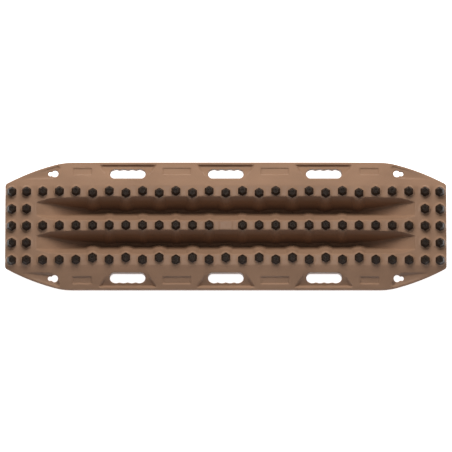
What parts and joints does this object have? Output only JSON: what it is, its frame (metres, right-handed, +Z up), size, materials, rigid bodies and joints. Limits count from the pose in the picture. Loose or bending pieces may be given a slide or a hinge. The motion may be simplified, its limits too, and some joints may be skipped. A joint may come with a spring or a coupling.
{
  "type": "vehicle recovery board",
  "caption": "Ridged moulded traction board with screwed-on metal teeth, laid under a bogged wheel; side hand holes and keyholes for mounting pins.",
  "frame": {"origin": "centre of the board in plan, on the ground plane that its cleats stand on", "axes": "+X along the board, +Y across it to its left, +Z up, out of the toothed side"},
  "size_m": [1.15, 0.335, 0.084],
  "materials": {
    "moulded_nylon": "fine matt grain, tan brown, moulded in one colour",
    "black_alloy": "black hard-anodised, satin",
    "stainless_steel": "plain bright screws"
  },
  "bodies": {
    "root": {"board_shell": "moulded_nylon", "front_second_screws": "stainless_steel", "front_second_teeth": "black_alloy", "front_tip_screws": "stainless_steel", "front_tip_teeth": "black_alloy", "left_row_inner_screws": "stainless_steel", "left_row_inner_teeth": "black_alloy", "left_row_outer_screws": "stainless_steel", "left_row_outer_teeth": "black_alloy", "middle_row_front_screws": "stainless_steel", "middle_row_front_teeth": "black_alloy", "middle_row_rear_screws": "stainless_steel", "middle_row_rear_teeth": "black_alloy", "rear_second_screws": "stainless_steel", "rear_second_teeth": "black_alloy", "rear_tip_screws": "stainless_steel", "rear_tip_teeth": "black_alloy", "right_row_inner_screws": "stainless_steel", "right_row_inner_teeth": "black_alloy", "right_row_outer_screws": "stainless_steel", "right_row_outer_teeth": "black_alloy"}
  },
  "joints": []
}
